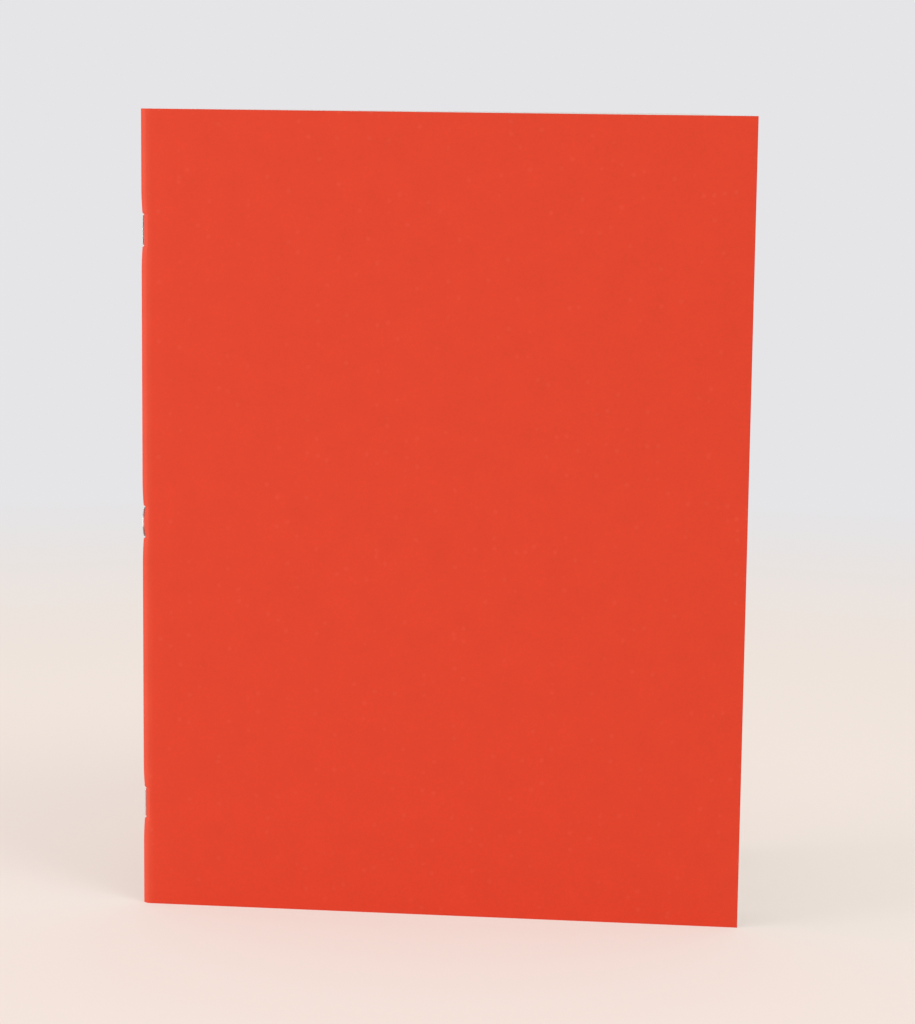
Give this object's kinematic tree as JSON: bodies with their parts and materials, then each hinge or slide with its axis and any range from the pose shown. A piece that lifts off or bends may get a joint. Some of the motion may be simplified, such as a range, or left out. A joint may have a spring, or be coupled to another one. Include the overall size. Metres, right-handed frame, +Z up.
{
  "type": "stapled exercise book",
  "caption": "Large stapled exercise book with a plain red card cover, standing slightly open; the covers and the folded sheets' leaves turn about the stapled spine.",
  "frame": {"origin": "under the middle of the open book's box, on the surface that it stands on", "axes": "+Z up along the spine from tail to head, +X from the spine towards the fore-edge in the middle plane of the opening, front cover on the -Y side"},
  "size_m": [0.2374, 0.1128, 0.32],
  "materials": {
    "cover_card": "smooth uncoated card, dyed red",
    "page_paper": "uncoated writing paper",
    "staple_wire": "drawn stitching wire"
  },
  "bodies": {
    "spine": {"cover_spine": "cover_card", "sheet_folds": "page_paper", "tail_staple": "staple_wire", "middle_staple": "staple_wire", "head_staple": "staple_wire"},
    "front_leaf_20": {"front_leaf_20": "page_paper"},
    "front_leaf_19": {"front_leaf_19": "page_paper"},
    "front_leaf_18": {"front_leaf_18": "page_paper"},
    "front_leaf_17": {"front_leaf_17": "page_paper"},
    "front_leaf_16": {"front_leaf_16": "page_paper"},
    "front_leaf_15": {"front_leaf_15": "page_paper"},
    "front_leaf_14": {"front_leaf_14": "page_paper"},
    "front_leaf_13": {"front_leaf_13": "page_paper"},
    "front_leaf_12": {"front_leaf_12": "page_paper"},
    "front_leaf_11": {"front_leaf_11": "page_paper"},
    "front_leaf_10": {"front_leaf_10": "page_paper"},
    "front_leaf_09": {"front_leaf_09": "page_paper"},
    "front_leaf_08": {"front_leaf_08": "page_paper"},
    "front_leaf_07": {"front_leaf_07": "page_paper"},
    "front_leaf_06": {"front_leaf_06": "page_paper"},
    "front_leaf_05": {"front_leaf_05": "page_paper"},
    "front_leaf_04": {"front_leaf_04": "page_paper"},
    "front_leaf_03": {"front_leaf_03": "page_paper"},
    "front_leaf_02": {"front_leaf_02": "page_paper"},
    "front_leaf_01": {"front_leaf_01": "page_paper"},
    "front_cover": {"front_cover": "cover_card"},
    "back_leaf_20": {"back_leaf_20": "page_paper"},
    "back_leaf_19": {"back_leaf_19": "page_paper"},
    "back_leaf_18": {"back_leaf_18": "page_paper"},
    "back_leaf_17": {"back_leaf_17": "page_paper"},
    "back_leaf_16": {"back_leaf_16": "page_paper"},
    "back_leaf_15": {"back_leaf_15": "page_paper"},
    "back_leaf_14": {"back_leaf_14": "page_paper"},
    "back_leaf_13": {"back_leaf_13": "page_paper"},
    "back_leaf_12": {"back_leaf_12": "page_paper"},
    "back_leaf_11": {"back_leaf_11": "page_paper"},
    "back_leaf_10": {"back_leaf_10": "page_paper"},
    "back_leaf_09": {"back_leaf_09": "page_paper"},
    "back_leaf_08": {"back_leaf_08": "page_paper"},
    "back_leaf_07": {"back_leaf_07": "page_paper"},
    "back_leaf_06": {"back_leaf_06": "page_paper"},
    "back_leaf_05": {"back_leaf_05": "page_paper"},
    "back_leaf_04": {"back_leaf_04": "page_paper"},
    "back_leaf_03": {"back_leaf_03": "page_paper"},
    "back_leaf_02": {"back_leaf_02": "page_paper"},
    "back_leaf_01": {"back_leaf_01": "page_paper"},
    "back_cover": {"back_cover": "cover_card"}
  },
  "joints": [
    {"name": "front_leaf_20_turn", "type": "hinge", "parent": "spine", "child": "front_leaf_20", "pos_m": [-0.11632, -0.00284, 0], "axis": [0, 0, -1], "range_deg": [-12.4, 77.6]},
    {"name": "front_leaf_19_turn", "type": "hinge", "parent": "spine", "child": "front_leaf_19", "pos_m": [-0.11598, -0.0025, 0], "axis": [0, 0, -1], "range_deg": [-12.19, 76.28]},
    {"name": "front_leaf_18_turn", "type": "hinge", "parent": "spine", "child": "front_leaf_18", "pos_m": [-0.11587, -0.00238, 0], "axis": [0, 0, -1], "range_deg": [-11.98, 74.97]},
    {"name": "front_leaf_17_turn", "type": "hinge", "parent": "spine", "child": "front_leaf_17", "pos_m": [-0.11575, -0.00226, 0], "axis": [0, 0, -1], "range_deg": [-11.77, 73.65]},
    {"name": "front_leaf_16_turn", "type": "hinge", "parent": "spine", "child": "front_leaf_16", "pos_m": [-0.11563, -0.00215, 0], "axis": [0, 0, -1], "range_deg": [-11.56, 72.33]},
    {"name": "front_leaf_15_turn", "type": "hinge", "parent": "spine", "child": "front_leaf_15", "pos_m": [-0.11551, -0.00203, 0], "axis": [0, 0, -1], "range_deg": [-11.35, 71.01]},
    {"name": "front_leaf_14_turn", "type": "hinge", "parent": "spine", "child": "front_leaf_14", "pos_m": [-0.1154, -0.00191, 0], "axis": [0, 0, -1], "range_deg": [-11.14, 69.7]},
    {"name": "front_leaf_13_turn", "type": "hinge", "parent": "spine", "child": "front_leaf_13", "pos_m": [-0.11528, -0.0018, 0], "axis": [0, 0, -1], "range_deg": [-10.93, 68.38]},
    {"name": "front_leaf_12_turn", "type": "hinge", "parent": "spine", "child": "front_leaf_12", "pos_m": [-0.11516, -0.00168, 0], "axis": [0, 0, -1], "range_deg": [-10.72, 67.06]},
    {"name": "front_leaf_11_turn", "type": "hinge", "parent": "spine", "child": "front_leaf_11", "pos_m": [-0.11505, -0.00156, 0], "axis": [0, 0, -1], "range_deg": [-10.51, 65.74]},
    {"name": "front_leaf_10_turn", "type": "hinge", "parent": "spine", "child": "front_leaf_10", "pos_m": [-0.11493, -0.00145, 0], "axis": [0, 0, -1], "range_deg": [-10.29, 64.43]},
    {"name": "front_leaf_09_turn", "type": "hinge", "parent": "spine", "child": "front_leaf_09", "pos_m": [-0.11481, -0.00133, 0], "axis": [0, 0, -1], "range_deg": [-10.08, 63.11]},
    {"name": "front_leaf_08_turn", "type": "hinge", "parent": "spine", "child": "front_leaf_08", "pos_m": [-0.1147, -0.00121, 0], "axis": [0, 0, -1], "range_deg": [-9.87, 61.79]},
    {"name": "front_leaf_07_turn", "type": "hinge", "parent": "spine", "child": "front_leaf_07", "pos_m": [-0.11458, -0.00109, 0], "axis": [0, 0, -1], "range_deg": [-9.66, 60.47]},
    {"name": "front_leaf_06_turn", "type": "hinge", "parent": "spine", "child": "front_leaf_06", "pos_m": [-0.11446, -0.00098, 0], "axis": [0, 0, -1], "range_deg": [-9.45, 59.16]},
    {"name": "front_leaf_05_turn", "type": "hinge", "parent": "spine", "child": "front_leaf_05", "pos_m": [-0.11434, -0.00086, 0], "axis": [0, 0, -1], "range_deg": [-9.24, 57.84]},
    {"name": "front_leaf_04_turn", "type": "hinge", "parent": "spine", "child": "front_leaf_04", "pos_m": [-0.11423, -0.00074, 0], "axis": [0, 0, -1], "range_deg": [-9.03, 56.52]},
    {"name": "front_leaf_03_turn", "type": "hinge", "parent": "spine", "child": "front_leaf_03", "pos_m": [-0.11411, -0.00063, 0], "axis": [0, 0, -1], "range_deg": [-8.82, 55.2]},
    {"name": "front_leaf_02_turn", "type": "hinge", "parent": "spine", "child": "front_leaf_02", "pos_m": [-0.11399, -0.00051, 0], "axis": [0, 0, -1], "range_deg": [-8.61, 53.89]},
    {"name": "front_leaf_01_turn", "type": "hinge", "parent": "spine", "child": "front_leaf_01", "pos_m": [-0.11388, -0.00039, 0], "axis": [0, 0, -1], "range_deg": [-8.4, 52.57]},
    {"name": "front_cover_turn", "type": "hinge", "parent": "front_leaf_20", "child": "front_cover", "pos_m": [-0.11632, -0.00284, 0], "axis": [0, 0, -1], "range_deg": [-0.6, 59.4]},
    {"name": "back_leaf_20_turn", "type": "hinge", "parent": "spine", "child": "back_leaf_20", "pos_m": [-0.11632, 0.00284, 0], "axis": [0, 0, 1], "range_deg": [-12.4, 77.6]},
    {"name": "back_leaf_19_turn", "type": "hinge", "parent": "spine", "child": "back_leaf_19", "pos_m": [-0.11598, 0.0025, 0], "axis": [0, 0, 1], "range_deg": [-12.19, 76.28]},
    {"name": "back_leaf_18_turn", "type": "hinge", "parent": "spine", "child": "back_leaf_18", "pos_m": [-0.11587, 0.00238, 0], "axis": [0, 0, 1], "range_deg": [-11.98, 74.97]},
    {"name": "back_leaf_17_turn", "type": "hinge", "parent": "spine", "child": "back_leaf_17", "pos_m": [-0.11575, 0.00226, 0], "axis": [0, 0, 1], "range_deg": [-11.77, 73.65]},
    {"name": "back_leaf_16_turn", "type": "hinge", "parent": "spine", "child": "back_leaf_16", "pos_m": [-0.11563, 0.00215, 0], "axis": [0, 0, 1], "range_deg": [-11.56, 72.33]},
    {"name": "back_leaf_15_turn", "type": "hinge", "parent": "spine", "child": "back_leaf_15", "pos_m": [-0.11551, 0.00203, 0], "axis": [0, 0, 1], "range_deg": [-11.35, 71.01]},
    {"name": "back_leaf_14_turn", "type": "hinge", "parent": "spine", "child": "back_leaf_14", "pos_m": [-0.1154, 0.00191, 0], "axis": [0, 0, 1], "range_deg": [-11.14, 69.7]},
    {"name": "back_leaf_13_turn", "type": "hinge", "parent": "spine", "child": "back_leaf_13", "pos_m": [-0.11528, 0.0018, 0], "axis": [0, 0, 1], "range_deg": [-10.93, 68.38]},
    {"name": "back_leaf_12_turn", "type": "hinge", "parent": "spine", "child": "back_leaf_12", "pos_m": [-0.11516, 0.00168, 0], "axis": [0, 0, 1], "range_deg": [-10.72, 67.06]},
    {"name": "back_leaf_11_turn", "type": "hinge", "parent": "spine", "child": "back_leaf_11", "pos_m": [-0.11505, 0.00156, 0], "axis": [0, 0, 1], "range_deg": [-10.51, 65.74]},
    {"name": "back_leaf_10_turn", "type": "hinge", "parent": "spine", "child": "back_leaf_10", "pos_m": [-0.11493, 0.00145, 0], "axis": [0, 0, 1], "range_deg": [-10.29, 64.43]},
    {"name": "back_leaf_09_turn", "type": "hinge", "parent": "spine", "child": "back_leaf_09", "pos_m": [-0.11481, 0.00133, 0], "axis": [0, 0, 1], "range_deg": [-10.08, 63.11]},
    {"name": "back_leaf_08_turn", "type": "hinge", "parent": "spine", "child": "back_leaf_08", "pos_m": [-0.1147, 0.00121, 0], "axis": [0, 0, 1], "range_deg": [-9.87, 61.79]},
    {"name": "back_leaf_07_turn", "type": "hinge", "parent": "spine", "child": "back_leaf_07", "pos_m": [-0.11458, 0.00109, 0], "axis": [0, 0, 1], "range_deg": [-9.66, 60.47]},
    {"name": "back_leaf_06_turn", "type": "hinge", "parent": "spine", "child": "back_leaf_06", "pos_m": [-0.11446, 0.00098, 0], "axis": [0, 0, 1], "range_deg": [-9.45, 59.16]},
    {"name": "back_leaf_05_turn", "type": "hinge", "parent": "spine", "child": "back_leaf_05", "pos_m": [-0.11434, 0.00086, 0], "axis": [0, 0, 1], "range_deg": [-9.24, 57.84]},
    {"name": "back_leaf_04_turn", "type": "hinge", "parent": "spine", "child": "back_leaf_04", "pos_m": [-0.11423, 0.00074, 0], "axis": [0, 0, 1], "range_deg": [-9.03, 56.52]},
    {"name": "back_leaf_03_turn", "type": "hinge", "parent": "spine", "child": "back_leaf_03", "pos_m": [-0.11411, 0.00063, 0], "axis": [0, 0, 1], "range_deg": [-8.82, 55.2]},
    {"name": "back_leaf_02_turn", "type": "hinge", "parent": "spine", "child": "back_leaf_02", "pos_m": [-0.11399, 0.00051, 0], "axis": [0, 0, 1], "range_deg": [-8.61, 53.89]},
    {"name": "back_leaf_01_turn", "type": "hinge", "parent": "spine", "child": "back_leaf_01", "pos_m": [-0.11388, 0.00039, 0], "axis": [0, 0, 1], "range_deg": [-8.4, 52.57]},
    {"name": "back_cover_turn", "type": "hinge", "parent": "back_leaf_20", "child": "back_cover", "pos_m": [-0.11632, 0.00284, 0], "axis": [0, 0, 1], "range_deg": [-0.6, 59.4]}
  ],
  "couplings": [
    {"joint": "front_leaf_19_turn", "follows": "front_leaf_20_turn", "ratio": 0.98302},
    {"joint": "front_leaf_18_turn", "follows": "front_leaf_20_turn", "ratio": 0.96604},
    {"joint": "front_leaf_17_turn", "follows": "front_leaf_20_turn", "ratio": 0.94907},
    {"joint": "front_leaf_16_turn", "follows": "front_leaf_20_turn", "ratio": 0.93209},
    {"joint": "front_leaf_15_turn", "follows": "front_leaf_20_turn", "ratio": 0.91511},
    {"joint": "front_leaf_14_turn", "follows": "front_leaf_20_turn", "ratio": 0.89813},
    {"joint": "front_leaf_13_turn", "follows": "front_leaf_20_turn", "ratio": 0.88115},
    {"joint": "front_leaf_12_turn", "follows": "front_leaf_20_turn", "ratio": 0.86418},
    {"joint": "front_leaf_11_turn", "follows": "front_leaf_20_turn", "ratio": 0.8472},
    {"joint": "front_leaf_10_turn", "follows": "front_leaf_20_turn", "ratio": 0.83022},
    {"joint": "front_leaf_09_turn", "follows": "front_leaf_20_turn", "ratio": 0.81324},
    {"joint": "front_leaf_08_turn", "follows": "front_leaf_20_turn", "ratio": 0.79626},
    {"joint": "front_leaf_07_turn", "follows": "front_leaf_20_turn", "ratio": 0.77929},
    {"joint": "front_leaf_06_turn", "follows": "front_leaf_20_turn", "ratio": 0.76231},
    {"joint": "front_leaf_05_turn", "follows": "front_leaf_20_turn", "ratio": 0.74533},
    {"joint": "front_leaf_04_turn", "follows": "front_leaf_20_turn", "ratio": 0.72835},
    {"joint": "front_leaf_03_turn", "follows": "front_leaf_20_turn", "ratio": 0.71138},
    {"joint": "front_leaf_02_turn", "follows": "front_leaf_20_turn", "ratio": 0.6944},
    {"joint": "front_leaf_01_turn", "follows": "front_leaf_20_turn", "ratio": 0.67742},
    {"joint": "back_leaf_19_turn", "follows": "back_leaf_20_turn", "ratio": 0.98302},
    {"joint": "back_leaf_18_turn", "follows": "back_leaf_20_turn", "ratio": 0.96604},
    {"joint": "back_leaf_17_turn", "follows": "back_leaf_20_turn", "ratio": 0.94907},
    {"joint": "back_leaf_16_turn", "follows": "back_leaf_20_turn", "ratio": 0.93209},
    {"joint": "back_leaf_15_turn", "follows": "back_leaf_20_turn", "ratio": 0.91511},
    {"joint": "back_leaf_14_turn", "follows": "back_leaf_20_turn", "ratio": 0.89813},
    {"joint": "back_leaf_13_turn", "follows": "back_leaf_20_turn", "ratio": 0.88115},
    {"joint": "back_leaf_12_turn", "follows": "back_leaf_20_turn", "ratio": 0.86418},
    {"joint": "back_leaf_11_turn", "follows": "back_leaf_20_turn", "ratio": 0.8472},
    {"joint": "back_leaf_10_turn", "follows": "back_leaf_20_turn", "ratio": 0.83022},
    {"joint": "back_leaf_09_turn", "follows": "back_leaf_20_turn", "ratio": 0.81324},
    {"joint": "back_leaf_08_turn", "follows": "back_leaf_20_turn", "ratio": 0.79626},
    {"joint": "back_leaf_07_turn", "follows": "back_leaf_20_turn", "ratio": 0.77929},
    {"joint": "back_leaf_06_turn", "follows": "back_leaf_20_turn", "ratio": 0.76231},
    {"joint": "back_leaf_05_turn", "follows": "back_leaf_20_turn", "ratio": 0.74533},
    {"joint": "back_leaf_04_turn", "follows": "back_leaf_20_turn", "ratio": 0.72835},
    {"joint": "back_leaf_03_turn", "follows": "back_leaf_20_turn", "ratio": 0.71138},
    {"joint": "back_leaf_02_turn", "follows": "back_leaf_20_turn", "ratio": 0.6944},
    {"joint": "back_leaf_01_turn", "follows": "back_leaf_20_turn", "ratio": 0.67742}
  ]
}
